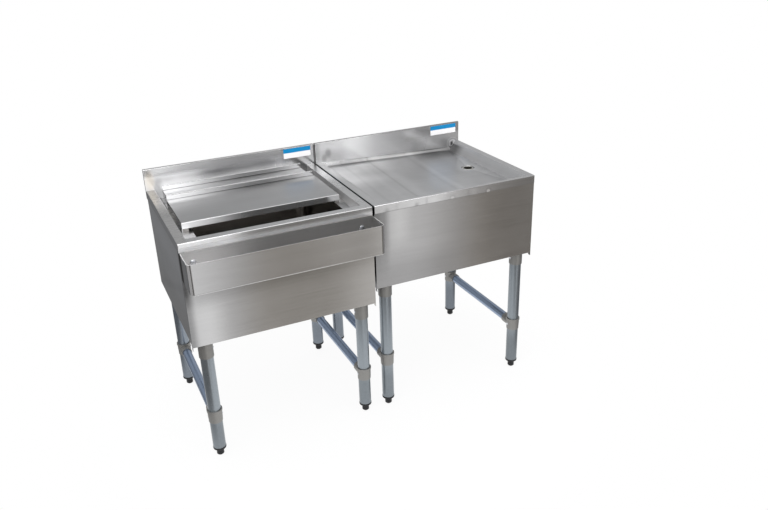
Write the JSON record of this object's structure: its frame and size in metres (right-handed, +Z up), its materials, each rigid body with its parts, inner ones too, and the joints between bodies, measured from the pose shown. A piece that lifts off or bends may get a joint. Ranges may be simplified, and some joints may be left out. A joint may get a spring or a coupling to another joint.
{
  "type": "bar sink with ice bin",
  "caption": "Stainless underbar pair on tube legs: an insulated ice bin with sliding lids and a front bottle rail, beside a drainboard with its own waste.",
  "frame": {"origin": "on the floor, at the middle of the width and of the whole depth, bottle rail included", "axes": "+X to the right for a person standing in front, +Y towards the backsplash, +Z up"},
  "size_m": [1.22, 0.622, 0.844],
  "materials": {
    "stainless_sheet": "satin brushed stainless sheet",
    "galvanised_tube": "galvanised tube, slightly blue",
    "galvanised_sheet": "galvanised sheet",
    "zinc_casting": "dull cast zinc",
    "black_nylon": "black moulded nylon",
    "foam": "rigid foam, never seen",
    "plated_brass": "plated waste fitting",
    "plated_fastener": "zinc-plated fastener"
  },
  "bodies": {
    "cabinets": {"bottle_rail": "stainless_sheet", "bottle_rail_bolts": "plated_fastener", "drainboard_apron": "stainless_sheet", "drainboard_backsplash": "stainless_sheet", "drainboard_drain": "plated_brass", "drainboard_drain_nut": "plated_brass", "drainboard_left_side": "stainless_sheet", "drainboard_leg_back_left": "galvanised_tube", "drainboard_leg_back_right": "galvanised_tube", "drainboard_leg_channels": "galvanised_sheet", "drainboard_leg_front_left": "galvanised_tube", "drainboard_leg_front_right": "galvanised_tube", "drainboard_leg_plugs": "black_nylon", "drainboard_leg_sockets": "zinc_casting", "drainboard_rear_panel": "galvanised_sheet", "drainboard_right_side": "stainless_sheet", "drainboard_set_screws": "plated_fastener", "drainboard_stretcher_left": "galvanised_tube", "drainboard_stretcher_right": "galvanised_tube", "drainboard_tees": "zinc_casting", "drainboard_top": "stainless_sheet", "ice_bin_apron": "stainless_sheet", "ice_bin_backsplash": "stainless_sheet", "ice_bin_drain": "plated_brass", "ice_bin_drain_nut": "plated_brass", "ice_bin_drain_screen": "stainless_sheet", "ice_bin_insulation": "foam", "ice_bin_ledge": "stainless_sheet", "ice_bin_left_side": "stainless_sheet", "ice_bin_leg_back_left": "galvanised_tube", "ice_bin_leg_back_right": "galvanised_tube", "ice_bin_leg_channels": "galvanised_sheet", "ice_bin_leg_front_left": "galvanised_tube", "ice_bin_leg_front_right": "galvanised_tube", "ice_bin_leg_plugs": "black_nylon", "ice_bin_leg_sockets": "zinc_casting", "ice_bin_outer_pan": "galvanised_sheet", "ice_bin_rear_panel": "galvanised_sheet", "ice_bin_right_side": "stainless_sheet", "ice_bin_set_screws": "plated_fastener", "ice_bin_stretcher_left": "galvanised_tube", "ice_bin_stretcher_right": "galvanised_tube", "ice_bin_tank": "stainless_sheet", "ice_bin_tees": "zinc_casting", "ice_bin_top": "stainless_sheet", "joining_bolts": "plated_fastener"},
    "front_lid": {"front_lid": "stainless_sheet"},
    "rear_lid": {"rear_lid": "stainless_sheet"},
    "drainboard_foot_back_left": {"drainboard_foot_back_left": "black_nylon"},
    "drainboard_foot_back_right": {"drainboard_foot_back_right": "black_nylon"},
    "drainboard_foot_front_left": {"drainboard_foot_front_left": "black_nylon"},
    "drainboard_foot_front_right": {"drainboard_foot_front_right": "black_nylon"},
    "ice_bin_foot_back_left": {"ice_bin_foot_back_left": "black_nylon"},
    "ice_bin_foot_back_right": {"ice_bin_foot_back_right": "black_nylon"},
    "ice_bin_foot_front_left": {"ice_bin_foot_front_left": "black_nylon"},
    "ice_bin_foot_front_right": {"ice_bin_foot_front_right": "black_nylon"}
  },
  "joints": [
    {"name": "front_lid_slide", "type": "slide", "parent": "cabinets", "child": "front_lid", "axis": [0, -1, 0], "range_m": [-0.04, 0.135]},
    {"name": "rear_lid_slide", "type": "slide", "parent": "cabinets", "child": "rear_lid", "axis": [0, -1, 0], "range_m": [0, 0.05]},
    {"name": "drainboard_foot_back_left_screw", "type": "slide", "parent": "cabinets", "child": "drainboard_foot_back_left", "axis": [0, 0, -1], "range_m": [0, 0.025]},
    {"name": "drainboard_foot_back_right_screw", "type": "slide", "parent": "cabinets", "child": "drainboard_foot_back_right", "axis": [0, 0, -1], "range_m": [0, 0.025]},
    {"name": "drainboard_foot_front_left_screw", "type": "slide", "parent": "cabinets", "child": "drainboard_foot_front_left", "axis": [0, 0, -1], "range_m": [0, 0.025]},
    {"name": "drainboard_foot_front_right_screw", "type": "slide", "parent": "cabinets", "child": "drainboard_foot_front_right", "axis": [0, 0, -1], "range_m": [0, 0.025]},
    {"name": "ice_bin_foot_back_left_screw", "type": "slide", "parent": "cabinets", "child": "ice_bin_foot_back_left", "axis": [0, 0, -1], "range_m": [0, 0.025]},
    {"name": "ice_bin_foot_back_right_screw", "type": "slide", "parent": "cabinets", "child": "ice_bin_foot_back_right", "axis": [0, 0, -1], "range_m": [0, 0.025]},
    {"name": "ice_bin_foot_front_left_screw", "type": "slide", "parent": "cabinets", "child": "ice_bin_foot_front_left", "axis": [0, 0, -1], "range_m": [0, 0.025]},
    {"name": "ice_bin_foot_front_right_screw", "type": "slide", "parent": "cabinets", "child": "ice_bin_foot_front_right", "axis": [0, 0, -1], "range_m": [0, 0.025]}
  ]
}
